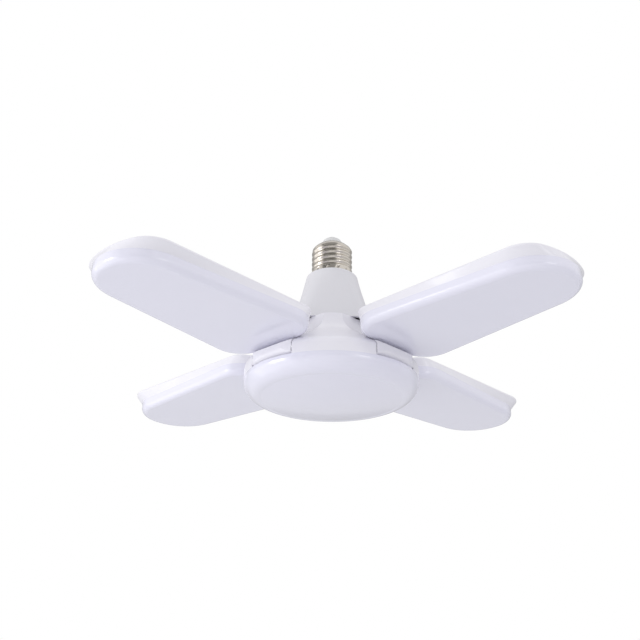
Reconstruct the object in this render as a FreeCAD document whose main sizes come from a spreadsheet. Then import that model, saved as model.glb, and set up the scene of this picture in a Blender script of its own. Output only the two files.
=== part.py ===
"""Folding four-leaf LED lamp with an Edison screw cap, in millimetres.

+Z is up along the lamp's axis. The origin is where the screw cap's skirt meets the neck,
so the lamp hangs below it. Leaf 1 points along +X, and the others follow every 90 degrees.
A leaf is drawn about its own hinge pin, with +X along the leaf, and then put in place.
"""
import FreeCAD, Part
import math
import os
import Sketcher

doc = FreeCAD.newDocument("folding_lamp")
sheet = doc.addObject("Spreadsheet::Sheet", "Sizes")
pieces = []


class Size:
    """A length that is known both as text for the sheet and as a number."""

    def __init__(self, text, value):
        self.text = text
        self.value = value

    def join(self, other, sign, value):
        return Size("(%s %s %s)" % (self.text, sign, other.text), value)

    def __add__(self, other):
        other = as_size(other)
        return self.join(other, "+", self.value + other.value)

    def __sub__(self, other):
        other = as_size(other)
        return self.join(other, "-", self.value - other.value)

    def __mul__(self, other):
        other = as_size(other)
        return self.join(other, "*", self.value * other.value)

    def __truediv__(self, other):
        other = as_size(other)
        return self.join(other, "/", self.value / other.value)

    def __neg__(self):
        return Size("(0 - %s)" % self.text, -self.value)

    def __radd__(self, other):
        return as_size(other) + self

    def __rsub__(self, other):
        return as_size(other) - self

    def __rmul__(self, other):
        return as_size(other) * self

    def __rtruediv__(self, other):
        return as_size(other) / self


def as_size(thing):
    if isinstance(thing, Size):
        return thing
    return Size(repr(thing), thing)


def root(thing):
    return Size("sqrt(%s)" % thing.text, math.sqrt(thing.value))


def size(name, value):
    """Writes a driving dimension in the next row of the sheet, under its own name."""
    cell = "B%d" % (size.row + 1)
    sheet.set("A%d" % (size.row + 1), name)
    sheet.set(cell, str(value))
    sheet.setAlias(cell, name)
    size.row += 1
    return Size("Sizes." + name, value)


size.row = 0

# Screw cap: the plain skirt, the rolled thread above it and the mouth round the insulator
cap_radius = size("cap_radius", 13.2)
cap_skirt = size("cap_skirt", 3.0)
cap_wall = size("cap_wall", 0.5)
thread_crest = size("thread_crest", 13.15)
thread_root = size("thread_root", 12.15)
thread_pitch = size("thread_pitch", 3.63)
thread_turns = 5
mouth_radius = size("mouth_radius", 9.0)
mouth_rise = size("mouth_rise", 1.6)
insulator_rise = size("insulator_rise", 3.6)
insulator_flange = size("insulator_flange", 1.2)
insulator_tip_radius = size("insulator_tip_radius", 5.8)
button_radius = size("button_radius", 4.8)
button_height = size("button_height", 1.8)
button_rim = size("button_rim", 0.7)
stem_radius = size("stem_radius", 1.4)
slip_gap = size("slip_gap", 0.1)

# Neck: a round shoulder that turns into a rounded square at the seam with the hub
neck_height = size("neck_height", 38.5)
neck_wall = size("neck_wall", 2.0)
neck_top_radius = size("neck_top_radius", 16.9)
neck_foot_half = size("neck_foot_half", 25.0)
neck_foot_corner = size("neck_foot_corner", 12.0)
neck_shoulder = size("neck_shoulder", 3.2)
spigot_height = size("spigot_height", 12.0)
spigot_wall = size("spigot_wall", 2.0)

# Hub: a flared shell with four slots, whose sides carry the hinge pins
hub_height = size("hub_height", 34.8)
hub_wall = size("hub_wall", 2.4)
hub_top_radius = size("hub_top_radius", 30.0)
hub_top_bore = size("hub_top_bore", 12.0)
hub_radius = size("hub_radius", 54.8)
hub_edge_height = size("hub_edge_height", 8.2)
hub_cone_radius = size("hub_cone_radius", 38.0)
hub_cone_height = size("hub_cone_height", 20.7)
hub_flare_radius = size("hub_flare_radius", 18.0)
hub_edge_round = size("hub_edge_round", 5.0)
slot_half = size("slot_half", 17.0)
notch_floor = size("notch_floor", 13.0)

# Hinge: the pin stands across the slot, and the leaf's knuckle turns on it
pin_radius = size("pin_radius", 1.5)
pin_inset = size("pin_inset", 5.6)
pin_rise = size("pin_rise", 5.0)
pin_turn_gap = size("pin_turn_gap", 0.05)
pin_seat_gap = size("pin_seat_gap", 0.02)
floor_gap = size("floor_gap", 0.3)
pin_out = hub_radius - pin_inset
washer_thickness = size("washer_thickness", 0.5)
washer_radius = size("washer_radius", 3.0)
washer_gap = size("washer_gap", 0.05)
arm_back = size("arm_back", 8.5)
arm_thickness = size("arm_thickness", 3.6)
arm_heel = size("arm_heel", 3.6)
knuckle_step = size("knuckle_step", 3.2)
front_lift_degrees = 2.7
rear_lift_degrees = 0.2

# Leaf: the housing's squarish upper outline, the seam's rounder one and the diffuser's foot
leaf_overlap = size("leaf_overlap", 6.9)
leaf_reach = size("leaf_reach", 125.0)
leaf_inner_half = size("leaf_inner_half", 33.8)
leaf_outer_half = size("leaf_outer_half", 30.8)
leaf_inner_end = size("leaf_inner_end", 61.0)
leaf_outer_end = size("leaf_outer_end", 65.0)
leaf_inner_corner = size("leaf_inner_corner", 9.2)
leaf_outer_corner = size("leaf_outer_corner", 17.0)
leaf_edge_z = size("leaf_edge_z", 17.6)
leaf_crown = size("leaf_crown", 1.6)
leaf_crown_round = size("leaf_crown_round", 1.3)
leaf_wall = size("leaf_wall", 2.0)
seam_z = size("seam_z", 13.2)
seam_overlap = size("seam_overlap", 4.5)
seam_reach = size("seam_reach", 127.1)
seam_inner_half = size("seam_inner_half", 36.8)
seam_outer_half = size("seam_outer_half", 25.8)
seam_inner_end = size("seam_inner_end", 110.0)
seam_outer_end = size("seam_outer_end", 39.0)
seam_inner_corner = size("seam_inner_corner", 18.0)
seam_outer_corner = size("seam_outer_corner", 27.0)
lens_depth = size("lens_depth", 7.3)
lens_round = size("lens_round", 3.9)
lens_wall = size("lens_wall", 1.6)
lip_height = size("lip_height", 1.6)
lip_gap = size("lip_gap", 0.2)
lip_wall = size("lip_wall", 1.2)

# Centre lamp: the tray that closes the hub, its board and its domed diffuser
tray_thickness = size("tray_thickness", 2.0)
dome_wall = size("dome_wall", 1.6)
dome_skirt = size("dome_skirt", 2.0)
dome_depth = size("dome_depth", 14.4)
dome_corner_radius = size("dome_corner_radius", 10.5)
dome_corner_in = size("dome_corner_in", 10.8)
dome_corner_down = size("dome_corner_down", 10.7)
dome_corner_thin = size("dome_corner_thin", 1.0)
dome_corner_rise = size("dome_corner_rise", 1.3)

# Boards, light-emitting chips, screws and the driver's components
board_thickness = size("board_thickness", 1.6)
board_gap = size("board_gap", 0.4)
board_margin = size("board_margin", 0.6)
centre_board_inset = size("centre_board_inset", 17.8)
chip_length = size("chip_length", 5.6)
chip_width = size("chip_width", 3.0)
chip_height = size("chip_height", 0.8)
chip_ring_inner = size("chip_ring_inner", 13.0)
chip_ring_inset = size("chip_ring_inset", 8.0)
inner_ring_count = 8
outer_ring_count = 16
leaf_row_count = 12
leaf_chip_inset = size("leaf_chip_inset", 17.0)
leaf_chip_row = size("leaf_chip_row", 14.0)
screw_radius = size("screw_radius", 1.2)
screw_head_radius = size("screw_head_radius", 2.3)
screw_head_height = size("screw_head_height", 1.4)
screw_grip = size("screw_grip", 5.0)
boss_radius = size("boss_radius", 3.0)
screw_gap = size("screw_gap", 0.02)
screw_head_round = size("screw_head_round", 0.5)
hole_spare = size("hole_spare", 0.5)
overrun = size("overrun", 2.0)
hub_screw_out = size("hub_screw_out", 17.8)
neck_post_bite = size("neck_post_bite", 1.0)
tray_screw_inset = size("tray_screw_inset", 10.8)
board_screw_out = size("board_screw_out", 21.0)
leaf_screw_inset = size("leaf_screw_inset", 16.0)
driver_board_radius = size("driver_board_radius", 14.4)
capacitor_radius = size("capacitor_radius", 4.0)
capacitor_height = size("capacitor_height", 17.0)
core_radius = size("core_radius", 4.4)
core_height = size("core_height", 9.0)
core_waist = size("core_waist", 2.2)
winding_radius = size("winding_radius", 4.0)
core_flange = size("core_flange", 1.4)
component_out = size("component_out", 8.4)
lead_radius = size("lead_radius", 0.6)
driver_chip_length = size("driver_chip_length", 4.0)
driver_chip_width = size("driver_chip_width", 5.0)
driver_chip_height = size("driver_chip_height", 1.6)
neutral_lead_degrees = 45

rim_z = -(neck_height + hub_height)
thread_top = cap_skirt + thread_pitch * thread_turns
cap_top = thread_top + mouth_rise
tray_screw_out = hub_radius - tray_screw_inset
centre_board_radius = hub_radius - centre_board_inset
chip_ring_outer = centre_board_radius - chip_ring_inset
upright = FreeCAD.Vector(0, 0, 1)


def keep(thing, label):
    """Names a finished sub-part and adds it to those that are written."""
    thing.Label = label
    pieces.append(thing)
    return thing


def draw(sketch, path):
    """Draws a closed path anticlockwise and ties every corner to the sheet.

    A point is (x, y), or (x, y, radius) where the edge that reaches it is an arc. A positive
    radius bulges outwards and a negative one inwards.
    """
    first = sketch.GeometryCount
    corners = [(as_size(point[0]), as_size(point[1])) for point in path]
    ends = []
    for index, point in enumerate(path):
        start = FreeCAD.Vector(corners[index - 1][0].value, corners[index - 1][1].value, 0)
        end = FreeCAD.Vector(corners[index][0].value, corners[index][1].value, 0)
        if len(point) == 2:
            sketch.addGeometry(Part.LineSegment(start, end))
            ends.append((1, 2))
            continue
        radius = abs(as_size(point[2]).value)
        turn = 1 if as_size(point[2]).value > 0 else -1
        chord = end - start
        left = FreeCAD.Vector(-chord.y, chord.x, 0).normalize()
        centre = (start + end) * 0.5 + left * turn * math.sqrt(radius ** 2 - (chord.Length / 2) ** 2)
        begin, finish = (start, end) if turn > 0 else (end, start)
        begin_angle = math.atan2(begin.y - centre.y, begin.x - centre.x)
        finish_angle = math.atan2(finish.y - centre.y, finish.x - centre.x)
        if finish_angle < begin_angle:
            finish_angle += 2 * math.pi
        circle = Part.Circle(centre, upright, radius)
        sketch.addGeometry(Part.ArcOfCircle(circle, begin_angle, finish_angle))
        ends.append((1, 2) if turn > 0 else (2, 1))
    for index, point in enumerate(path):
        after = (index + 1) % len(path)
        near, far = first + index, first + after
        sketch.addConstraint(Sketcher.Constraint("Coincident", near, ends[index][1], far, ends[after][0]))
        for axis, place in zip(("DistanceX", "DistanceY"), corners[index]):
            row = sketch.addConstraint(Sketcher.Constraint(axis, near, ends[index][1], place.value))
            if place.text != repr(place.value):
                sketch.setExpression("Constraints[%d]" % row, place.text)
        if len(point) == 3:
            bend = as_size(point[2])
            row = sketch.addConstraint(Sketcher.Constraint("Radius", near, abs(bend.value)))
            sketch.setExpression("Constraints[%d]" % row, "abs(%s)" % bend.text)


def sketch_in(body, role, paths, lift=None):
    """Puts a sketch of closed paths on one of the body's own origin planes."""
    sketch = body.newObject("Sketcher::SketchObject", body.Name + "_sketch")
    plane = [f for f in body.Origin.OriginFeatures if f.Role == role][0]
    sketch.AttachmentSupport = [(plane, "")]
    sketch.MapMode = "FlatFace"
    if lift is not None:
        sketch.setExpression("AttachmentOffset.Base.z", as_size(lift).text)
    for path in paths:
        draw(sketch, path)
    return sketch


def circle_in(body, centres, radius, lift=None):
    """Puts a sketch of equal circles on the body's XY plane."""
    sketch = sketch_in(body, "XY_Plane", [], lift)
    radius = as_size(radius)
    for x, y in centres:
        x, y = as_size(x), as_size(y)
        spot = FreeCAD.Vector(x.value, y.value, 0)
        index = sketch.addGeometry(Part.Circle(spot, upright, radius.value))
        for axis, place in (("DistanceX", x), ("DistanceY", y)):
            row = sketch.addConstraint(Sketcher.Constraint(axis, index, 3, place.value))
            if place.text != repr(place.value):
                sketch.setExpression("Constraints[%d]" % row, place.text)
        row = sketch.addConstraint(Sketcher.Constraint("Radius", index, radius.value))
        sketch.setExpression("Constraints[%d]" % row, radius.text)
    return sketch


def new_body(name):
    body = doc.addObject("PartDesign::Body", name)
    body.AllowCompound = True
    return body


def revolve(body, path):
    """Turns a path of (radius, height) points once round the Z axis."""
    sketch = sketch_in(body, "XZ_Plane", [path])
    feature = body.newObject("PartDesign::Revolution", body.Name + "_turned")
    feature.Profile = sketch
    feature.ReferenceAxis = (sketch, ["V_Axis"])
    feature.Angle = 360
    return feature


def pad(body, sketch, length, both_ways=False):
    feature = body.newObject("PartDesign::Pad", body.Name + "_pad")
    feature.Profile = sketch
    feature.Midplane = both_ways
    feature.setExpression("Length", as_size(length).text)
    return feature


def pocket(body, sketch, depth, upwards=False, both_ways=False):
    feature = body.newObject("PartDesign::Pocket", body.Name + "_pocket")
    feature.Profile = sketch
    feature.Midplane = both_ways
    feature.Reversed = upwards
    feature.setExpression("Length", as_size(depth).text)
    return feature


def loft(body, lower, upper, cuts=False):
    kind = "PartDesign::SubtractiveLoft" if cuts else "PartDesign::AdditiveLoft"
    feature = body.newObject(kind, body.Name + "_loft")
    feature.Profile = lower
    feature.Sections = [upper]
    return feature


def round_edges(body, feature, chosen, radius):
    """Rounds the edges of the last feature whose middle passes the test."""
    doc.recompute()
    names = []
    for index, edge in enumerate(feature.Shape.Edges):
        if chosen(edge):
            names.append("Edge%d" % (index + 1))
    rounding = body.newObject("PartDesign::Fillet", body.Name + "_round")
    rounding.Base = (feature, names)
    rounding.setExpression("Radius", as_size(radius).text)
    return rounding


def level(edge, height):
    """True where an edge lies flat at a height."""
    box = edge.BoundBox
    return abs(box.ZMin - height) < 0.01 and abs(box.ZMax - height) < 0.01


def cylinder(name, radius, height, placement):
    thing = doc.addObject("Part::Cylinder", name)
    thing.setExpression("Radius", as_size(radius).text)
    thing.setExpression("Height", as_size(height).text)
    thing.Placement = placement
    return thing


def at(x=0, y=0, z=0, turn=None):
    """A placement from sizes or numbers, with an optional rotation."""
    spot = FreeCAD.Vector(as_size(x).value, as_size(y).value, as_size(z).value)
    return FreeCAD.Placement(spot, turn or FreeCAD.Rotation())


def spin(degrees):
    """A placement that turns a piece about the lamp's axis."""
    return FreeCAD.Placement(FreeCAD.Vector(), FreeCAD.Rotation(upright, degrees))


def group(label, solids, placement=None):
    """Several like solids that share one sub-part."""
    thing = doc.addObject("Part::Feature", label)
    thing.Shape = Part.makeCompound(solids)
    thing.Placement = placement or FreeCAD.Placement()
    return keep(thing, label)


def rounded_square(half, corner):
    """A square with rounded corners, drawn anticlockwise, its flats across X and Y."""
    flat = half - corner
    return [(half, -flat, corner), (half, flat), (flat, half, corner), (-flat, half),
            (-half, flat, corner), (-half, -flat), (-flat, -half, corner), (flat, -half)]


def round_outline(radius):
    """A circle cut in eight arcs, to pair with the eight edges of a rounded square."""
    wide = radius * math.cos(math.pi / 8)
    slim = radius * math.sin(math.pi / 8)
    spots = [(wide, -slim), (wide, slim), (slim, wide), (-slim, wide),
             (-wide, slim), (-wide, -slim), (-slim, -wide), (slim, -wide)]
    return [(x, y, radius) for x, y in spots]


def leaf_outline(tips, halves, ends, corners, inset):
    """A paddle outline: broad end arcs, straight sides that close in and tangent corners.

    Each pair of sizes is the inner end's and then the outer end's.
    """
    slope = (halves[0] - halves[1]) / (tips[0] + tips[1])
    lean = 1 / root(1 + slope * slope)
    side = (halves[0] - slope * tips[0]) * lean - inset
    spots = []
    for sign, tip, end, corner in ((-1, tips[0], ends[0], corners[0]), (1, tips[1], ends[1], corners[1])):
        middle = (tip - end) * sign
        gap = end - corner
        bend = corner - inset
        across = side - bend - slope * lean * middle
        along = root(gap * gap - across * across) * sign
        corner_x = middle + slope * lean * across + lean * along
        corner_y = lean * across - slope * lean * along
        reach = (end - inset) / gap
        touch_end = (middle + (corner_x - middle) * reach, corner_y * reach)
        touch_side = (corner_x + slope * lean * bend, corner_y + lean * bend)
        spots.append((touch_end, touch_side, end - inset, bend))
    (near_end, near_side, near_bow, near_bend), (far_end, far_side, far_bow, far_bend) = spots
    return [(far_end[0], -far_end[1], far_bend), (far_end[0], far_end[1], far_bow),
            (far_side[0], far_side[1], far_bend), near_side,
            (near_end[0], near_end[1], near_bend), (near_end[0], -near_end[1], near_bow),
            (near_side[0], -near_side[1], near_bend), (far_side[0], -far_side[1])]


def upper_outline(inset=0):
    return leaf_outline((leaf_overlap, leaf_reach), (leaf_inner_half, leaf_outer_half),
                        (leaf_inner_end, leaf_outer_end), (leaf_inner_corner, leaf_outer_corner), inset)


def seam_outline(inset=0):
    return leaf_outline((seam_overlap, seam_reach), (seam_inner_half, seam_outer_half),
                        (seam_inner_end, seam_outer_end), (seam_inner_corner, seam_outer_corner), inset)


# Screw shell: a thin turned sleeve with a rolled thread and a narrower mouth
def make_screw_shell():
    body = new_body("screw_shell")
    middle = (thread_crest + thread_root) / 2
    rise = (thread_crest - thread_root) / 2
    half_pitch = thread_pitch / 2
    roll = (half_pitch * half_pitch / 4 + rise * rise) / (2 * rise)
    bore = thread_root - cap_wall
    path = [(cap_radius, 0), (cap_radius, cap_skirt - rise), (middle, cap_skirt)]
    for turn in range(thread_turns):
        foot = cap_skirt + thread_pitch * turn
        path.append((middle, foot + half_pitch, roll))
        path.append((middle, foot + thread_pitch, -roll))
    path.append((mouth_radius, cap_top, middle - mouth_radius + rise * 2))
    path.append((mouth_radius, cap_top - cap_wall))
    path.append((bore, thread_top))
    path.append((bore, 0))
    revolve(body, path)
    keep(body, "screw_shell")


def make_insulator_and_button():
    body = new_body("cap_insulator")
    bore = stem_radius + slip_gap
    seat = cap_top - cap_wall
    collar = mouth_radius - slip_gap
    foot = seat - insulator_flange
    top = cap_top + insulator_rise
    revolve(body, [(collar, foot), (collar, cap_top), (insulator_tip_radius, top),
                   (bore, top), (bore, foot)])
    keep(body, "cap_insulator")
    button = new_body("contact_button")
    crown = button_height - button_rim
    bow = (button_radius * button_radius + crown * crown) / (crown * 2)
    revolve(button, [(0, foot), (stem_radius, foot), (stem_radius, top), (button_radius, top),
                     (button_radius, top + button_rim), (0, top + button_height, bow)])
    keep(button, "contact_button")


# Neck: a hollow cone that turns from round at its shoulder to a rounded square at its foot,
# with a spigot inside the cap and two screw bosses in its corners
def make_neck():
    body = new_body("neck_outside")
    foot = sketch_in(body, "XY_Plane", [rounded_square(neck_foot_half, neck_foot_corner)], -neck_height)
    top = sketch_in(body, "XY_Plane", [round_outline(neck_top_radius)], -neck_shoulder)
    loft(body, foot, top)
    flat = neck_top_radius - neck_shoulder
    revolve(body, [(0, -neck_shoulder), (neck_top_radius, -neck_shoulder), (flat, 0, neck_shoulder), (0, 0)])
    pad(body, circle_in(body, [(0, 0)], thread_root - cap_wall - slip_gap), spigot_height)
    inner_foot = rounded_square(neck_foot_half - neck_wall, neck_foot_corner - neck_wall)
    low = sketch_in(body, "XY_Plane", [inner_foot], -neck_height)
    high = sketch_in(body, "XY_Plane", [round_outline(neck_top_radius - neck_wall)], -neck_shoulder)
    loft(body, low, high, cuts=True)
    bore = circle_in(body, [(0, 0)], thread_root - cap_wall - slip_gap - spigot_wall, -neck_shoulder)
    pocket(body, bore, spigot_height + neck_shoulder, upwards=True)
    body.Placement = spin(45)
    foot_reach = neck_foot_half - neck_wall
    lean = (neck_foot_half - neck_top_radius) / (neck_height - neck_shoulder)
    post_height = (foot_reach - hub_screw_out - boss_radius + neck_post_bite) / lean
    posts = []
    holes = []
    for side in (1, -1):
        spot = spin(45) * at(hub_screw_out * side, 0, -neck_height)
        posts.append(cylinder("neck_post", boss_radius, post_height, spot))
        holes.append(cylinder("neck_hole", screw_radius + screw_gap, screw_grip + hole_spare, spot))
    joined = doc.addObject("Part::MultiFuse", "neck_with_posts")
    joined.Shapes = [body] + posts
    drilling = doc.addObject("Part::MultiFuse", "neck_holes")
    drilling.Shapes = holes
    neck = doc.addObject("Part::Cut", "neck_drilled")
    neck.Base = joined
    neck.Tool = drilling
    keep(neck, "driver_neck")


def cut_round(body, path, low, tall):
    """Cuts the same pocket, padded upwards from a height, in all four leaf directions."""
    cut = pocket(body, sketch_in(body, "XY_Plane", [path], low), tall, upwards=True)
    doc.recompute()
    ring = body.newObject("PartDesign::PolarPattern", body.Name + "_ring")
    ring.Originals = [cut]
    z_axis = [f for f in body.Origin.OriginFeatures if f.Role == "Z_Axis"][0]
    ring.Axis = (z_axis, [""])
    ring.Angle = 360
    ring.Occurrences = 4
    body.Tip = ring
    doc.recompute()


def cut_slots(body, margin):
    """Cuts the hinge slots, and the notches from them back to the neck's flats, wider by a margin."""
    knuckle = pin_rise - floor_gap
    throat = pin_out - root(arm_back * arm_back + knuckle * knuckle) - floor_gap - margin
    half = slot_half + margin
    start = neck_foot_half - margin
    far = hub_radius + overrun
    slot = [(far, -half), (far, half), (throat, half), (throat, -half)]
    cut_round(body, slot, rim_z - overrun * 2, hub_height + overrun * 4)
    notch = [(throat, -half), (throat, half), (start, half), (start, -half)]
    cut_round(body, notch, rim_z + notch_floor - margin, hub_height)


# Hub: the flared outside less its four slots, hollowed between them
def make_hub():
    top = -neck_height
    edge = rim_z + hub_edge_height
    cone = rim_z + hub_cone_height
    outer = new_body("hub_outside")
    turned = revolve(outer, [(hub_top_bore, rim_z), (hub_radius, rim_z), (hub_radius, edge),
                             (hub_cone_radius, cone), (hub_top_radius, top, -hub_flare_radius),
                             (hub_top_bore, top)])
    round_edges(outer, turned, lambda e: level(e, edge.value), hub_edge_round)
    cut_slots(outer, 0)
    inner = new_body("hub_inside")
    under = top - hub_wall
    slim = hub_radius - hub_wall
    revolve(inner, [(0, rim_z - overrun), (slim, rim_z - overrun), (slim, edge - hub_wall),
                    (hub_cone_radius - hub_wall, cone - hub_wall),
                    (hub_top_radius - hub_wall, under, -(hub_flare_radius + hub_wall)), (0, under)])
    cut_slots(inner, hub_wall)
    posts = []
    tools = []
    for quarter in range(4):
        turn = spin(90 * quarter)
        diagonal = spin(90 * quarter + 45)
        post = cylinder("hub_post", boss_radius, hub_height, diagonal * at(tray_screw_out, 0, rim_z))
        posts.append(post)
        tools.append(cylinder("post_hole", screw_radius + screw_gap, screw_grip,
                              diagonal * at(tray_screw_out, 0, rim_z)))
        lying = FreeCAD.Rotation(FreeCAD.Vector(1, 0, 0), -90)
        start = at(pin_out, -(slot_half + hub_wall), rim_z + pin_rise, lying)
        tools.append(cylinder("pin_hole", pin_radius + pin_seat_gap, (slot_half + hub_wall) * 2, turn * start))
    for side in (1, -1):
        tools.append(cylinder("plate_hole", screw_radius + screw_gap, hub_wall + overrun * 2,
                              spin(45) * at(hub_screw_out * side, 0, top - hub_wall - overrun)))
    standing = doc.addObject("Part::MultiFuse", "hub_posts")
    standing.Shapes = posts
    hollow = doc.addObject("Part::Cut", "hub_hollow")
    hollow.Base = inner
    hollow.Tool = standing
    away = doc.addObject("Part::MultiFuse", "hub_cuts")
    away.Shapes = [hollow] + tools
    hub = doc.addObject("Part::Cut", "hub_shell")
    hub.Base = outer
    hub.Tool = away
    keep(hub, "hub_body")


def screws(label, spots, grip, placement=None, upwards=True):
    """Pan-head screws; each spot is where the underside of the head bears."""
    solids = []
    for x, y, z in spots:
        seat = at(x, y, z).Base
        head_low = seat - upright * screw_head_height.value if upwards else seat
        head = Part.makeCylinder(screw_head_radius.value, screw_head_height.value, head_low)
        crown = [e for e in head.Edges if level(e, head_low.z if upwards else head.BoundBox.ZMax)]
        head = head.makeFillet(screw_head_round.value, crown)
        shank_low = seat if upwards else seat - upright * as_size(grip).value
        shank = Part.makeCylinder(screw_radius.value, as_size(grip).value, shank_low)
        solids.append(head.fuse(shank).removeSplitter())
    return group(label, solids, placement)


def ring_spots(count, out, z, first=0):
    """Points evenly spaced on a circle at a height."""
    spots = []
    for index in range(count):
        angle = math.radians(first + 360 * index / count)
        spots.append((out.value * math.cos(angle), out.value * math.sin(angle), as_size(z).value))
    return spots


# Centre lamp: tray, board, chips and domed diffuser under the hub
def make_centre():
    tray = new_body("centre_tray")
    outline = circle_in(tray, [(0, 0)], hub_radius - dome_wall - slip_gap, rim_z - tray_thickness)
    pad(tray, outline, tray_thickness)
    outer_holes = [(x, y) for x, y, z in ring_spots(4, tray_screw_out, 0, 45)]
    inner_holes = [(x, y) for x, y, z in ring_spots(3, board_screw_out, 0)]
    holes = circle_in(tray, outer_holes + inner_holes, screw_radius + screw_gap, rim_z - tray_thickness)
    pocket(tray, holes, tray_thickness, upwards=True)
    keep(tray, "centre_tray")
    tray_foot = rim_z - tray_thickness
    screws("tray_screws", [(x, y, tray_foot) for x, y in outer_holes], tray_thickness + screw_grip - hole_spare)
    board = new_body("centre_board")
    board_foot = tray_foot - board_thickness
    pad(board, circle_in(board, [(0, 0)], centre_board_radius, board_foot), board_thickness)
    holes = circle_in(board, inner_holes, screw_radius + screw_gap, board_foot)
    pocket(board, holes, board_thickness, upwards=True)
    keep(board, "centre_led_board")
    grip = board_thickness + tray_thickness + hole_spare
    screws("centre_board_screws", [(x, y, board_foot) for x, y in inner_holes], grip)
    chips = []
    for count, out in ((inner_ring_count, chip_ring_inner), (outer_ring_count, chip_ring_outer)):
        for index in range(count):
            chip = Part.makeBox(chip_length.value, chip_width.value, chip_height.value,
                                at(out - chip_length / 2, -(chip_width / 2), board_foot - chip_height).Base)
            chip.Placement = spin(360 * (index + 0.5) / count) * chip.Placement
            chips.append(chip)
    group("centre_leds", chips)
    dome = new_body("centre_diffuser")
    corner_r = hub_radius - dome_corner_in
    corner_z = rim_z - dome_corner_down
    foot = rim_z - dome_depth
    drop = dome_depth - dome_corner_down
    bowl = (corner_r * corner_r + drop * drop) / (2 * drop)
    inner_r = corner_r - dome_corner_thin
    inner_z = corner_z + dome_corner_rise
    inner_foot = foot + dome_wall
    inner_drop = inner_z - inner_foot
    inner_bowl = (inner_r * inner_r + inner_drop * inner_drop) / (2 * inner_drop)
    revolve(dome, [(0, foot), (corner_r, corner_z, bowl), (hub_radius, rim_z - dome_skirt, dome_corner_radius),
                   (hub_radius, rim_z), (hub_radius - dome_wall, rim_z),
                   (hub_radius - dome_wall, rim_z - dome_skirt),
                   (inner_r, inner_z, -(dome_corner_radius - dome_wall)),
                   (0, inner_foot, -inner_bowl)])
    keep(dome, "centre_diffuser")


# Driver: a round board on the hub's top plate with its components standing in the neck
def make_driver():
    foot = -neck_height
    top = foot + board_thickness
    board = new_body("driver_board")
    pad(board, circle_in(board, [(0, 0)], driver_board_radius, foot), board_thickness)
    keep(board, "driver_board")
    can = new_body("driver_capacitor")
    pad(can, circle_in(can, [(0, 0)], capacitor_radius), capacitor_height)
    can.Placement = at(0, component_out, top)
    keep(can, "driver_capacitor")
    core = new_body("choke_core")
    waist_top = core_height - core_flange
    revolve(core, [(0, 0), (core_radius, 0), (core_radius, core_flange), (core_waist, core_flange),
                   (core_waist, waist_top), (core_radius, waist_top), (core_radius, core_height),
                   (0, core_height)])
    core.Placement = at(0, -component_out, top)
    keep(core, "driver_choke_core")
    coil = new_body("choke_winding")
    revolve(coil, [(core_waist, core_flange), (winding_radius, core_flange), (winding_radius, waist_top),
                   (core_waist, waist_top)])
    coil.Placement = at(0, -component_out, top)
    keep(coil, "driver_choke_winding")
    chips = []
    for side in (1, -1):
        corner = at(component_out * side - driver_chip_length / 2, -driver_chip_width / 2, top).Base
        chips.append(Part.makeBox(driver_chip_length.value, driver_chip_width.value,
                                  driver_chip_height.value, corner))
    group("driver_chips", chips)
    stem_foot = cap_top - cap_wall - insulator_flange
    live = cylinder("live_lead", lead_radius, stem_foot - top, at(0, 0, top))
    keep(live, "live_lead")
    neutral = new_body("neutral_lead")
    lead_x = thread_root - cap_wall - spigot_wall - slip_gap - lead_radius * 2
    bend = lead_radius * 3
    wall_x = thread_root - cap_wall
    turn_z = spigot_height + lead_radius * 2 - bend
    path = neutral.newObject("Sketcher::SketchObject", "neutral_path")
    plane = [f for f in neutral.Origin.OriginFeatures if f.Role == "XZ_Plane"][0]
    path.AttachmentSupport = [(plane, "")]
    path.MapMode = "FlatFace"
    start = FreeCAD.Vector(lead_x.value, top.value, 0)
    corner = FreeCAD.Vector(lead_x.value, turn_z.value, 0)
    centre = corner + FreeCAD.Vector(bend.value, 0, 0)
    over = centre + FreeCAD.Vector(0, bend.value, 0)
    path.addGeometry(Part.LineSegment(start, corner))
    path.addGeometry(Part.ArcOfCircle(Part.Circle(centre, upright, bend.value), math.pi / 2, math.pi))
    path.addGeometry(Part.LineSegment(over, FreeCAD.Vector(wall_x.value, over.y, 0)))
    section = circle_in(neutral, [(lead_x, 0)], lead_radius, top)
    pipe = neutral.newObject("PartDesign::AdditivePipe", "neutral_pipe")
    pipe.Profile = section
    pipe.Spine = (path, ["Edge1", "Edge2", "Edge3"])
    neutral.Placement = spin(neutral_lead_degrees)
    keep(neutral, "neutral_lead")
    bearing = [(hub_screw_out * side, 0, foot - hub_wall) for side in (1, -1)]
    screws("neck_screws", bearing, hub_wall + screw_grip, spin(45))


def leaf_place(number):
    """Puts a leaf's own frame at its hinge, lifted a little and turned to its quarter."""
    lift = front_lift_degrees if number in (1, 4) else rear_lift_degrees
    lifted = FreeCAD.Rotation(FreeCAD.Vector(0, 1, 0), -lift)
    return spin(90 * (number - 1)) * at(pin_out, 0, rim_z + pin_rise, lifted)


def leaf_screw_spots(height):
    middle = (seam_reach - seam_overlap) / 2
    return [(leaf_screw_inset - seam_overlap, 0, height), (middle, 0, height),
            (seam_reach - leaf_screw_inset, 0, height)]


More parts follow.
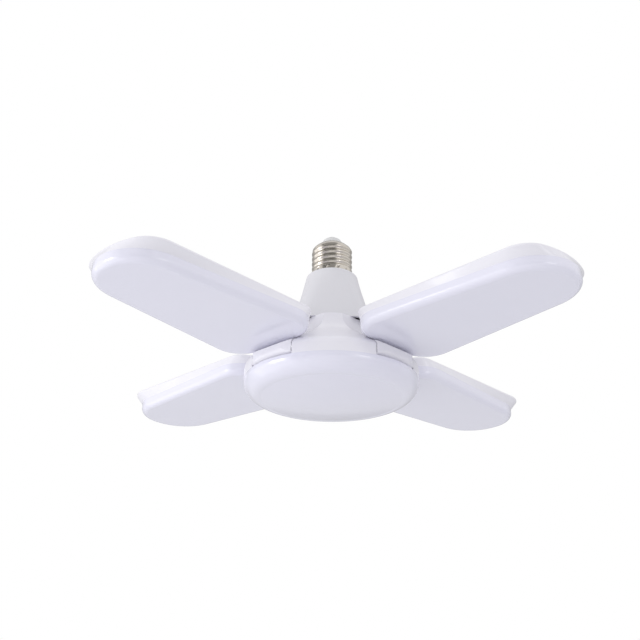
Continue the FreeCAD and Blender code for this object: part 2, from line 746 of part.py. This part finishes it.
# Leaf housing: a shallow tray from the rounder seam outline up to the squarish edge,
# with a flat crown, screw posts inside and the hinge arm at its inner end. The knuckle's face
# follows the hub's round rim, and its top slopes up to the diffuser's foot.
def make_leaf_housing(name, place):
    body = new_body(name)
    crown_z = leaf_edge_z + leaf_crown
    low = sketch_in(body, "XY_Plane", [seam_outline()], seam_z)
    high = sketch_in(body, "XY_Plane", [upper_outline()], leaf_edge_z)
    loft(body, low, high)
    cover = pad(body, sketch_in(body, "XY_Plane", [upper_outline()], leaf_edge_z), leaf_crown)
    round_edges(body, cover, lambda e: level(e, crown_z.value), leaf_crown_round)
    knuckle = pin_rise - floor_gap
    back = -arm_back
    front = back + arm_thickness
    knuckle_top = seam_z - lens_depth - washer_gap
    side_view = [(knuckle, 0, knuckle), (knuckle, knuckle_step), (lens_round - seam_overlap, knuckle_top),
                 (front, knuckle_top), (front, leaf_edge_z), (back, leaf_edge_z), (back, -arm_heel),
                 (0, -knuckle)]
    arm_half = slot_half - washer_thickness - washer_gap * 2
    pad(body, sketch_in(body, "XZ_Plane", [side_view]), arm_half * 2, both_ways=True)
    wide = arm_half + overrun
    rim = root(hub_radius * hub_radius - wide * wide) - pin_out
    past_rim = [(knuckle + overrun, -wide), (knuckle + overrun, wide), (rim, wide), (rim, -wide, -hub_radius)]
    below = -(knuckle + overrun)
    pocket(body, sketch_in(body, "XY_Plane", [past_rim], below), knuckle_top - below, upwards=True)
    ceiling = leaf_edge_z + leaf_crown - leaf_wall
    inside = sketch_in(body, "XY_Plane", [seam_outline(leaf_wall)], seam_z)
    pocket(body, inside, ceiling - seam_z, upwards=True)
    board_top = seam_z + board_gap + board_thickness
    spots = [(x, y) for x, y, z in leaf_screw_spots(0)]
    pad(body, circle_in(body, spots, boss_radius, board_top), ceiling - board_top)
    holes = circle_in(body, spots, screw_radius + screw_gap, board_top)
    pocket(body, holes, ceiling - board_top - hole_spare, upwards=True)
    bore = sketch_in(body, "XZ_Plane", [])
    hole_radius = pin_radius + pin_turn_gap
    bore.addGeometry(Part.Circle(FreeCAD.Vector(), upright, hole_radius.value))
    bore.addConstraint(Sketcher.Constraint("Coincident", 0, 3, -1, 1))
    row = bore.addConstraint(Sketcher.Constraint("Radius", 0, hole_radius.value))
    bore.setExpression("Constraints[%d]" % row, hole_radius.text)
    pocket(body, bore, (arm_half + overrun) * 2, both_ways=True)
    body.Placement = place
    keep(body, name)


# Leaf diffuser: a milky tray with a rounded foot and a lip that fits inside the housing
def make_leaf_diffuser(name, place):
    body = new_body(name)
    foot = seam_z - lens_depth
    outside = pad(body, sketch_in(body, "XY_Plane", [seam_outline()], foot), lens_depth)
    round_edges(body, outside, lambda e: level(e, foot.value), lens_round)
    lip = leaf_wall + lip_gap
    pad(body, sketch_in(body, "XY_Plane", [seam_outline(lip)], seam_z), lip_height)
    inside = sketch_in(body, "XY_Plane", [seam_outline(lip + lip_wall)], foot + lens_wall)
    pocket(body, inside, lens_depth - lens_wall + lip_height, upwards=True)
    body.Placement = place
    keep(body, name)


def make_leaf(number):
    place = leaf_place(number)
    name = "leaf_%d_" % number
    make_leaf_housing(name + "housing", place)
    make_leaf_diffuser(name + "diffuser", place)
    board = new_body(name + "led_board")
    board_foot = seam_z + board_gap
    edge = leaf_wall + lip_gap + lip_wall + board_margin
    pad(board, sketch_in(board, "XY_Plane", [seam_outline(edge)], board_foot), board_thickness)
    spots = [(x, y) for x, y, z in leaf_screw_spots(0)]
    pocket(board, circle_in(board, spots, screw_radius + screw_gap, board_foot), board_thickness,
           upwards=True)
    board.Placement = place
    keep(board, name + "led_board")
    ceiling = leaf_edge_z + leaf_crown - leaf_wall
    grip = ceiling - board_foot - hole_spare * 2
    screws(name + "board_screws", leaf_screw_spots(board_foot), grip, place)
    chips = []
    first = leaf_chip_inset - seam_overlap
    pitch = (seam_reach - leaf_chip_inset - chip_length - first) / (leaf_row_count - 1)
    for row in (-1, 1):
        for index in range(leaf_row_count):
            x = first + pitch * index
            y = leaf_chip_row * row
            corner = at(x, y - chip_width / 2, board_foot - chip_height).Base
            chips.append(Part.makeBox(chip_length.value, chip_width.value, chip_height.value, corner))
    group(name + "leds", chips, place)
    lying = FreeCAD.Rotation(FreeCAD.Vector(1, 0, 0), -90)
    pin_half = slot_half + hub_wall
    pin = cylinder(name + "hinge_pin", pin_radius, pin_half * 2, place * at(0, -pin_half, 0, lying))
    keep(pin, name + "hinge_pin")
    washers = []
    for side in (1, -1):
        inner = (slot_half - washer_gap) * side
        low = min(inner.value, inner.value - washer_thickness.value * side)
        ring = Part.makeCylinder(washer_radius.value, washer_thickness.value,
                                 FreeCAD.Vector(0, low, 0), FreeCAD.Vector(0, 1, 0))
        hole = Part.makeCylinder((pin_radius + pin_turn_gap).value, washer_thickness.value,
                                 FreeCAD.Vector(0, low, 0), FreeCAD.Vector(0, 1, 0))
        washers.append(ring.cut(hole))
    group(name + "washers", washers, place)


make_screw_shell()
make_insulator_and_button()
make_neck()
make_hub()
make_centre()
make_driver()
for number in range(1, 5):
    make_leaf(number)
doc.recompute()

for thing in doc.Objects:
    if "Invalid" in thing.State or "Error" in thing.State:
        raise RuntimeError("%s did not build" % thing.Name)
os.makedirs("parts", exist_ok=True)
for thing in pieces:
    shape = thing.Shape
    if shape.isNull() or not shape.isValid():
        raise RuntimeError("%s has no valid shape" % thing.Label)
    print("%-24s solids %d volume %.1f" % (thing.Label, len(shape.Solids), shape.Volume))
for thing in pieces:
    thing.Shape.exportStep("parts/%s.step" % thing.Label)
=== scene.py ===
import bpy
import math
from mathutils import Matrix, Vector


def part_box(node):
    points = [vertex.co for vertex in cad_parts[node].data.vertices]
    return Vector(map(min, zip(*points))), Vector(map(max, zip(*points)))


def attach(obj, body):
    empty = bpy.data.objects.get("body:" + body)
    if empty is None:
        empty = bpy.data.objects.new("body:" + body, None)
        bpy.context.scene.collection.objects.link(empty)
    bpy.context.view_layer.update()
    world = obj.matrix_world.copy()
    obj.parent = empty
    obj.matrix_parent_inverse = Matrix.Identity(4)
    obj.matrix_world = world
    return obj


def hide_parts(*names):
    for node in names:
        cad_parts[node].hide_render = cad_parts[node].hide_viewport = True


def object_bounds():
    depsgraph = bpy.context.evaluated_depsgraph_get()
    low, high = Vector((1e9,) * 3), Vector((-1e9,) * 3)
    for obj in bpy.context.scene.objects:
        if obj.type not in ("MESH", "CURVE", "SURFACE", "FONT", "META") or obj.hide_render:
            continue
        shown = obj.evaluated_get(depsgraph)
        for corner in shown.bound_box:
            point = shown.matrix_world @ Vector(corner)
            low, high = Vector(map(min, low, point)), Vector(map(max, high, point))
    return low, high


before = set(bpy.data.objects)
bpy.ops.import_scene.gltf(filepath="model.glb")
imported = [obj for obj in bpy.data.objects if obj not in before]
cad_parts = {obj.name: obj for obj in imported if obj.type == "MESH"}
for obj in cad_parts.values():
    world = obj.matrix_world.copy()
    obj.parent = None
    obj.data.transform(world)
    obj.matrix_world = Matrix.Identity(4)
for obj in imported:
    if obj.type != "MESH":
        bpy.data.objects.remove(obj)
cad_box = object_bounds()

# Camera: below the lamp and in front of it, looking up, so that the undersides of all four
# leaves show. Its place was worked out from the hub's rim, the leaves and the cap.
rim_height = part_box("centre_diffuser")[1].z
camera_turn = math.radians(43.86)
camera_side = -0.0060
camera_back = 0.6165
camera_drop = 0.2260
camera_pitch = math.radians(23.55)
camera_yaw = math.radians(0.14)
camera_roll = math.radians(0.56)
camera_lens = 58.90

turned = Matrix.Rotation(camera_turn, 4, "Z")
camera_data = bpy.data.cameras.new("camera")
camera_data.lens = camera_lens
camera_data.sensor_width = 36.0
camera_data.clip_start = 0.01
camera = bpy.data.objects.new("camera", camera_data)
bpy.context.scene.collection.objects.link(camera)
looking_up = Matrix.Rotation(math.radians(90) + camera_pitch, 4, "X")
tilted = Matrix.Rotation(camera_yaw, 4, "Z") @ looking_up @ Matrix.Rotation(camera_roll, 4, "Z")
stand = Matrix.Translation((camera_side, -camera_back, rim_height - camera_drop))
camera.matrix_world = turned @ stand @ tilted
bpy.context.scene.camera = camera
bpy.context.scene.view_settings.view_transform = "Standard"


# Floor: a pale sheet well below the hanging lamp. The eye and reflections see it whiter than
# the light that it throws back, and it keeps the lamp's soft shadow.
class Value:
    """A shader socket that takes part in ordinary sums."""

    def __init__(self, nodes, socket):
        self.nodes = nodes
        self.socket = socket

    def maths(self, operation, *values):
        return self.nodes.add("ShaderNodeMath", {"operation": operation}, dict(enumerate(values)))

    def __add__(self, other):
        return self.maths("ADD", self, other)

    def __radd__(self, other):
        return self.maths("ADD", other, self)

    def __sub__(self, other):
        return self.maths("SUBTRACT", self, other)

    def __rsub__(self, other):
        return self.maths("SUBTRACT", other, self)

    def __mul__(self, other):
        return self.maths("MULTIPLY", self, other)

    def __rmul__(self, other):
        return self.maths("MULTIPLY", other, self)

    def __gt__(self, other):
        return self.maths("GREATER_THAN", self, other)

    def __or__(self, other):
        return self.maths("MAXIMUM", self, other)


class Nodes:
    """A node tree that grows by one node a call."""

    def __init__(self, tree):
        self.tree = tree

    def add(self, kind, settings=None, inputs=None, output=0):
        node = self.tree.nodes.new(kind)
        for name, value in (settings or {}).items():
            setattr(node, name, value)
        for name, value in (inputs or {}).items():
            if isinstance(value, Value):
                self.tree.links.new(value.socket, node.inputs[name])
            else:
                node.inputs[name].default_value = value
        return Value(self, node.outputs[output])


class Finish(Nodes):
    """A material: constants on its shader's own sockets, and patterns that vary over a piece."""

    def __init__(self, name, **constants):
        self.material = bpy.data.materials.new(name)
        self.material.use_nodes = True
        super().__init__(self.material.node_tree)
        self.shader = self.tree.nodes["Principled BSDF"]
        for socket, value in constants.items():
            self.shader.inputs[socket.replace("_", " ")].default_value = value

    def feed(self, socket, value):
        self.tree.links.new(value.socket, self.shader.inputs[socket])

    def place(self, stretch=(1, 1, 1)):
        """The piece's own metres, stretched."""
        point = self.add("ShaderNodeTexCoord", output="Object")
        return self.add("ShaderNodeMapping", {}, {"Vector": point, "Scale": stretch})

    def axis(self, name):
        """How far a point lies along one of the piece's axes."""
        return self.add("ShaderNodeSeparateXYZ", {}, {"Vector": self.place()}, output=name)

    def noise(self, scale, detail=3.0, stretch=(1, 1, 1)):
        """Soft mottling between 0 and 1, with so many cells in a metre."""
        return self.add("ShaderNodeTexNoise", {"noise_dimensions": "3D"},
                        {"Vector": self.place(stretch), "Scale": scale, "Detail": detail})

    def ramp(self, value, low, high, to_low=0.0, to_high=1.0):
        """A value carried smoothly from one range to another and held at its ends."""
        return self.add("ShaderNodeMapRange", {"interpolation_type": "SMOOTHSTEP"},
                        {"Value": value, "From Min": low, "From Max": high,
                         "To Min": to_low, "To Max": to_high})

    def blend(self, mask, low, high):
        """A colour that goes from low to high with a mask."""
        return self.add("ShaderNodeMix", {"data_type": "RGBA"},
                        {"Factor": mask, 6: (*low, 1), 7: (*high, 1)}, output=2)

    def colour(self, mask, low, high):
        self.feed("Base Color", self.blend(mask, low, high))

    def rough(self, mask, low, high):
        self.feed("Roughness", self.ramp(mask, 0.25, 0.75, low, high))

    def bump(self, height, distance):
        """Relief from a height between 0 and 1, so many metres deep."""
        relief = {"Height": height, "Distance": distance}
        self.feed("Normal", self.add("ShaderNodeBump", {}, relief))


def dress(finish, *nodes):
    """Gives CAD nodes a finish."""
    for node in nodes:
        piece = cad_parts[node]
        piece.data.materials.clear()
        piece.data.materials.append(finish.material)


floor_drop = 0.62
floor_half = 3.0

bpy.ops.object.select_all(action="DESELECT")
floor_spot = (0, 0, cad_box[0].z - floor_drop)
bpy.ops.mesh.primitive_plane_add(size=floor_half * 2, location=floor_spot)
floor = bpy.context.object
floor.name = "floor"
paper = Finish("pale_floor", Roughness=0.9)
eye = paper.add("ShaderNodeLightPath", output="Is Camera Ray")
mirror = paper.add("ShaderNodeLightPath", output="Is Glossy Ray")
glass = paper.add("ShaderNodeLightPath", output="Is Transmission Ray")
grain = paper.noise(120.0) * 0.04
paper.colour((eye | mirror | glass) - grain, (0.86, 0.86, 0.87), (0.98, 0.98, 0.98))
floor.data.materials.append(paper.material)

# Light: an even white surround and four soft panels, of which the low left one gives the
# undersides their slow fall towards the right. Reflections also show the darker room before
# the lamp and far behind it, between two white walls.
backdrop_white = 1.0
surround_light = 0.77
room_shade = 0.98
rear_shade = 0.50

world = bpy.data.worlds.new("studio")
bpy.context.scene.world = world
world.use_nodes = True
sky = Nodes(world.node_tree)
eye = sky.add("ShaderNodeLightPath", output="Is Camera Ray")
mirror = sky.add("ShaderNodeLightPath", output="Is Glossy Ray")
glass = sky.add("ShaderNodeLightPath", output="Is Transmission Ray")
toward = sky.add("ShaderNodeTexCoord", output="Generated")


def lies_toward(direction, low, high):
    """How far a ray points a way given in the photograph's own directions, from 0 to 1."""
    cosine = sky.add("ShaderNodeVectorMath", {"operation": "DOT_PRODUCT"},
                     {0: toward, 1: turned @ Vector(direction)}, output="Value")
    return sky.add("ShaderNodeMapRange", {"interpolation_type": "SMOOTHSTEP"},
                   {"Value": cosine, "From Min": low, "From Max": high})


before = lies_toward((0, -1, 0), 0.0, 0.35)
between = (1 - lies_toward((-1, 0, 0), 0.60, 0.85)) * (1 - lies_toward((1, 0, 0), 0.25, 0.50))
behind = lies_toward((0, 1, 0), 0.30, 0.75)
reflected = (mirror | glass) * (1 - before * between * room_shade - behind * rear_shade)
plain = (1 - (mirror | glass)) * surround_light
strength = eye * backdrop_white + (1 - eye) * (reflected + plain)
background = world.node_tree.nodes["Background"]
background.inputs["Color"].default_value = (1, 1, 1, 1)
world.node_tree.links.new(strength.socket, background.inputs["Strength"])


def panel(name, spot, target, size, power):
    """A soft lamp that faces a target, its spot given in the photograph's own directions."""
    lamp = bpy.data.lights.new(name, "AREA")
    lamp.shape = "RECTANGLE"
    lamp.size, lamp.size_y = size
    lamp.energy = power
    holder = bpy.data.objects.new(name, lamp)
    bpy.context.scene.collection.objects.link(holder)
    place = turned @ Vector(spot)
    facing = (turned @ Vector(target) - place).to_track_quat("-Z", "Y")
    holder.matrix_world = Matrix.Translation(place) @ facing.to_matrix().to_4x4()


panel("left_panel", (-1.00, -0.36, -0.05), (0, 0, -0.07), (0.40, 0.35), 1.8)
panel("right_panel", (0.75, -0.90, -0.05), (0, 0, -0.07), (0.35, 0.30), 0.9)
panel("low_panel", (-0.75, -0.10, -0.34), (-0.05, 0, -0.07), (0.95, 0.65), 1.6)
panel("high_panel", (-0.10, -0.70, 0.75), (0, 0, -0.07), (1.30, 1.10), 1.7)

# Screw cap: a shell pressed from thin sheet and nickel plated. Its thread is rolled in, its
# mouth closes on the insulator, and a ring of slanting dimples crimps its skirt to the neck.
shell_radius = 0.0132
shell_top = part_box("screw_shell")[1].z
shell_wall = 0.0004
shoulder_foot = 0.0180
shoulder_curve = 1.5
mouth_radius = 0.0086
thread_foot = 0.0030
thread_pitch = 0.00363
thread_depth = 0.0009
thread_end = 0.0195
thread_run_in = thread_pitch * 0.5
shell_rings = 110
shell_sides = 192
dimple_count = 12
dimple_height = 0.0017
dimple_depth = 0.0008
dimple_lean = math.radians(40)
dimple_length = 0.0012
dimple_width = 0.00042


def turn_up(name, profile, sides):
    """Raises a ring through a profile's (radius, height) points, as on a lathe."""
    bpy.ops.object.select_all(action="DESELECT")
    radius, foot = profile[0]
    bpy.ops.mesh.primitive_circle_add(vertices=sides, radius=radius, location=(0, 0, foot))
    piece = bpy.context.object
    piece.name = name
    bpy.ops.object.transform_apply(location=True)
    bpy.ops.object.mode_set(mode="EDIT")
    bpy.ops.mesh.select_all(action="SELECT")
    for (low_radius, low), (high_radius, high) in zip(profile, profile[1:]):
        bpy.ops.mesh.extrude_region_move(TRANSFORM_OT_translate={"value": (0, 0, high - low)})
        growth = high_radius / low_radius
        bpy.ops.transform.resize(value=(growth, growth, 1), center_override=(0, 0, high))
    return piece


def close_top():
    """Draws the last ring together into a pole."""
    bpy.ops.mesh.merge(type="CENTER")


def finish_mesh(piece, finish, slot, body, *stands_for):
    """Turns faces outwards, smooths, dresses and attaches a piece that has been shaped."""
    bpy.ops.object.mode_set(mode="EDIT")
    bpy.ops.mesh.select_all(action="SELECT")
    bpy.ops.mesh.normals_make_consistent(inside=False)
    bpy.ops.object.mode_set(mode="OBJECT")
    bpy.ops.object.shade_smooth_by_angle(angle=math.radians(40))
    piece.data.materials.append(finish.material)
    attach(piece, body)
    if stands_for:
        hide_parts(*stands_for)


def shoulder(height):
    """The shell's radius at a height, without its thread: straight, then closing on the mouth."""
    share = max(0.0, (height - shoulder_foot) / (shell_top - shoulder_foot))
    return mouth_radius + (shell_radius - mouth_radius) * (1 - share ** shoulder_curve)


heights = [shell_top * ring / shell_rings for ring in range(shell_rings + 1)]
outline = [(shoulder(height), height) for height in heights]
shell = turn_up("rolled_screw_shell", outline, shell_sides)
bpy.ops.object.mode_set(mode="OBJECT")
for vertex in shell.data.vertices:
    angle = math.atan2(vertex.co.y, vertex.co.x)
    height = vertex.co.z
    phase = (height - thread_foot) / thread_pitch - angle / (2 * math.pi)
    rising = min(1.0, max(0.0, (height - thread_foot) / thread_run_in))
    ending = min(1.0, max(0.0, (thread_end - height) / thread_pitch))
    pressed = thread_depth * rising * ending * (0.5 - 0.5 * math.cos(2 * math.pi * phase))
    around = angle * dimple_count / (2 * math.pi)
    along = (around - round(around)) * 2 * math.pi / dimple_count * shell_radius
    above = height - dimple_height
    far = (along * math.cos(dimple_lean) + above * math.sin(dimple_lean)) / dimple_length
    aside = (above * math.cos(dimple_lean) - along * math.sin(dimple_lean)) / dimple_width
    pressed += dimple_depth * math.exp(-far ** 2 - aside ** 2)
    inward = 1 - pressed / math.hypot(vertex.co.x, vertex.co.y)
    vertex.co.x *= inward
    vertex.co.y *= inward
thickness = shell.modifiers.new("sheet", "SOLIDIFY")
thickness.thickness = shell_wall
thickness.offset = -1
nickel = Finish("nickel_plate", Metallic=1.0)
smudge = nickel.noise(90.0, 4.0)
nickel.colour(smudge, (0.53, 0.49, 0.44), (0.65, 0.61, 0.56))
nickel.rough(nickel.noise(500.0), 0.12, 0.20)
nickel.bump(nickel.noise(900.0, 2.0, (1, 1, 6)), 0.00002)
bpy.ops.object.mode_set(mode="EDIT")
bpy.ops.mesh.select_all(action="SELECT")
bpy.ops.mesh.normals_make_consistent(inside=False)
bpy.ops.object.mode_set(mode="OBJECT")
bpy.ops.object.modifier_apply(modifier="sheet")
finish_mesh(shell, nickel, "cap_nickel", "lamp_body", "screw_shell")

# Insulator and contact: a pale moulded dome that fills the shell's mouth, a nickel disc on its
# top and the bead of solder that holds the live lead, a little to one side.
insulator_foot = shell_top - 0.0017
insulator_rim = shell_top - 0.0004
insulator_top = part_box("cap_insulator")[1].z + 0.0006
insulator_radius = mouth_radius - 0.0001
insulator_seat = 0.0068
insulator_flat = 0.0046
dome_rings = 14
pole_radius = 0.0004
round_sides = 64
contact_radius = 0.0043
contact_height = 0.0012
contact_edge = [(0.0003, -0.0002), (0.0, 0.0001), (0.0001, 0.0005), (0.0006, 0.0008)]
bead_out = 0.0017
bead_sunk = 0.0002
bead_radius = 0.0016
bead_shape = (1.0, 0.8, 0.5)

dome = [(insulator_radius, insulator_foot), (insulator_radius, insulator_rim)]
for ring in range(dome_rings + 1):
    angle = math.pi / 2 * ring / dome_rings
    dome.append((insulator_flat + (insulator_seat - insulator_flat) * math.cos(angle),
                 insulator_rim + (insulator_top - insulator_rim) * math.sin(angle)))
dome.append((pole_radius, insulator_top))
insulator = turn_up("insulator_dome", dome, round_sides)
close_top()
bpy.ops.object.mode_set(mode="OBJECT")
pale = Finish("insulator_moulding", Roughness=0.35)
pale.colour(pale.noise(350.0), (0.66, 0.66, 0.67), (0.73, 0.73, 0.74))
pale.bump(pale.noise(1200.0), 0.00003)
finish_mesh(insulator, pale, "insulator_white", "lamp_body", "cap_insulator")

disc = [(contact_radius - inset, insulator_top + rise) for inset, rise in contact_edge]
contact_top = insulator_top + contact_height
disc += [(contact_radius * 0.5, contact_top), (pole_radius, contact_top)]
contact = turn_up("contact_disc", disc, round_sides)
close_top()
bpy.ops.object.mode_set(mode="OBJECT")
bead_spot = turned @ Vector((bead_out, 0, contact_top - bead_sunk))
bpy.ops.object.select_all(action="DESELECT")
bpy.ops.mesh.primitive_ico_sphere_add(subdivisions=4, radius=bead_radius, location=bead_spot,
                                      scale=bead_shape)
bpy.ops.object.transform_apply(location=True, rotation=True, scale=True)
contact.select_set(True)
bpy.context.view_layer.objects.active = contact
bpy.ops.object.join()
tin = Finish("contact_metal", Metallic=1.0)
tin.colour(tin.noise(260.0), (0.60, 0.60, 0.60), (0.75, 0.75, 0.74))
tin.rough(tin.noise(700.0), 0.22, 0.42)
tin.bump(tin.noise(1500.0), 0.00003)
finish_mesh(contact, tin, "contact_nickel", "lamp_body", "contact_button")

# Neck: moulded in a matt plastic, a little greyer than the hub, with a fine spark-eroded grain
# that is the same all over.
neck = Finish("neck_plastic")
neck.colour(neck.noise(45.0), (0.70, 0.695, 0.740), (0.73, 0.725, 0.770))
neck.rough(neck.noise(400.0), 0.42, 0.55)
neck.bump(neck.noise(2600.0, 2.0), 0.00004)
dress(neck, "driver_neck")

# Hub: a glossy white moulding. Slow waves in the gloss and a faint orange peel are what a
# large thin shell shows when it leaves its mould.
white = Finish("white_gloss_plastic", Coat_Weight=0.25, Coat_Roughness=0.12)
white.colour(white.noise(30.0), (0.825, 0.815, 0.885), (0.840, 0.830, 0.895))
white.rough(white.noise(60.0), 0.29, 0.34)
white.bump(white.noise(160.0, 1.0), 0.000008)
dress(white, "hub_body")

# Centre light: a domed milky diffuser snapped under the hub, over an aluminium tray that
# carries a round board of chips, its screws and theirs.
milky = Finish("milky_diffuser", Coat_Weight=0.5, Coat_Roughness=0.10)
milky.colour(milky.noise(22.0), (0.775, 0.770, 0.890), (0.805, 0.800, 0.915))
milky.rough(milky.noise(35.0), 0.19, 0.255)
milky.bump(milky.noise(120.0, 1.0), 0.00001)
dress(milky, "centre_diffuser")

sheet = Finish("tray_sheet", Metallic=1.0)
sheet.colour(sheet.noise(160.0, 3.0, (1, 14, 1)), (0.66, 0.67, 0.69), (0.78, 0.79, 0.80))
sheet.rough(sheet.noise(220.0, 3.0, (1, 18, 1)), 0.30, 0.45)
sheet.bump(sheet.noise(500.0, 2.0, (1, 20, 1)), 0.00003)
dress(sheet, "centre_tray")

board = Finish("board_mask", Specular_IOR_Level=0.5)
strips = board.ramp(board.noise(70.0, 1.0), 0.48, 0.52)
board.colour(strips, (0.80, 0.81, 0.80), (0.86, 0.87, 0.86))
board.rough(board.noise(300.0), 0.35, 0.48)
board.bump(strips, 0.00004)
dress(board, "centre_led_board")

chip = Finish("chip_package")
glow = chip.noise(900.0, 2.0)
chip.colour(glow, (0.86, 0.72, 0.30), (0.93, 0.83, 0.45))
chip.rough(chip.noise(1500.0), 0.30, 0.45)
chip.bump(glow, 0.00004)
dress(chip, "centre_leds")

steel = Finish("screw_steel", Metallic=1.0)
steel.colour(steel.noise(420.0), (0.58, 0.58, 0.60), (0.72, 0.72, 0.74))
steel.rough(steel.noise(900.0), 0.22, 0.36)
steel.bump(steel.noise(1800.0, 2.0), 0.00003)
dress(steel, "centre_board_screws", "tray_screws", "neck_screws")

# Driver: a green board inside the neck with a capacitor, a wound choke and two chips, and the
# red and black leads that go up to the cap.
green = Finish("driver_mask", Coat_Weight=0.3, Coat_Roughness=0.2)
tracks = green.ramp(green.add("ShaderNodeTexVoronoi", {"distance": "MANHATTAN"},
                              {"Vector": green.place(), "Scale": 260.0}), 0.30, 0.36)
green.colour(tracks, (0.03, 0.20, 0.08), (0.05, 0.30, 0.12))
green.rough(green.noise(500.0), 0.28, 0.40)
green.bump(tracks, 0.00004)
dress(green, "driver_board")

can_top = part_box("driver_capacitor")[1].z
crown_depth = 0.0006
stripe_start = 0.0028
sleeve = Finish("capacitor_sleeve")
crown = sleeve.axis("Z") > can_top - crown_depth
stripe = sleeve.axis("X") > stripe_start
bare = (crown | stripe) * (0.8 + sleeve.noise(300.0) * 0.2)
sleeve.colour(bare, (0.02, 0.025, 0.05), (0.62, 0.62, 0.64))
sleeve.rough(sleeve.noise(600.0), 0.25, 0.38)
sleeve.bump(sleeve.noise(1000.0), 0.00003)
dress(sleeve, "driver_capacitor")

ferrite = Finish("choke_ferrite")
ferrite.colour(ferrite.noise(700.0), (0.05, 0.05, 0.055), (0.10, 0.10, 0.105))
ferrite.rough(ferrite.noise(500.0), 0.55, 0.75)
ferrite.bump(ferrite.noise(1600.0), 0.00006)
dress(ferrite, "driver_choke_core")

copper = Finish("enamelled_copper", Metallic=1.0)
# The winding's colour goes dark in the wave's low bands, the grooves between turns, which is
# painted shade; the same bands give the turns their relief.
turns_with_groove_shade = copper.add("ShaderNodeTexWave", {"bands_direction": "Z"},
                   {"Vector": copper.place(), "Scale": 420.0, "Distortion": 0.6})
copper.colour(turns_with_groove_shade, (0.32, 0.10, 0.04), (0.78, 0.36, 0.18))
copper.rough(copper.noise(600.0), 0.22, 0.34)
copper.bump(turns_with_groove_shade, 0.00015)
dress(copper, "driver_choke_winding")

epoxy = Finish("chip_epoxy")
epoxy.colour(epoxy.noise(900.0), (0.015, 0.015, 0.017), (0.04, 0.04, 0.042))
epoxy.rough(epoxy.noise(700.0), 0.45, 0.62)
epoxy.bump(epoxy.noise(2500.0), 0.00003)
dress(epoxy, "driver_chips")


def sleeving(name, dark, light):
    """The plastic round a lead."""
    sleeve = Finish(name)
    sleeve.colour(sleeve.noise(250.0), dark, light)
    sleeve.rough(sleeve.noise(500.0), 0.38, 0.50)
    sleeve.bump(sleeve.noise(900.0), 0.00003)
    return sleeve


dress(sleeving("red_sleeving", (0.42, 0.02, 0.02), (0.55, 0.04, 0.03)), "live_lead")
dress(sleeving("black_sleeving", (0.015, 0.015, 0.015), (0.04, 0.04, 0.04)), "neutral_lead")

# Leaves: each a white housing that carries a board of chips under a milky diffuser, turning
# on a steel pin between two washers, which give the hinge its friction.
pin = Finish("hinge_steel", Metallic=1.0)
pin.colour(pin.noise(380.0), (0.52, 0.52, 0.53), (0.66, 0.66, 0.68))
pin.rough(pin.noise(800.0), 0.26, 0.38)
pin.bump(pin.noise(1500.0), 0.00002)
for number in range(1, 5):
    leaf = "leaf_%d_" % number
    dress(white, leaf + "housing")
    dress(milky, leaf + "diffuser")
    dress(board, leaf + "led_board")
    dress(chip, leaf + "leds")
    dress(steel, leaf + "board_screws")
    dress(pin, leaf + "hinge_pin", leaf + "washers")
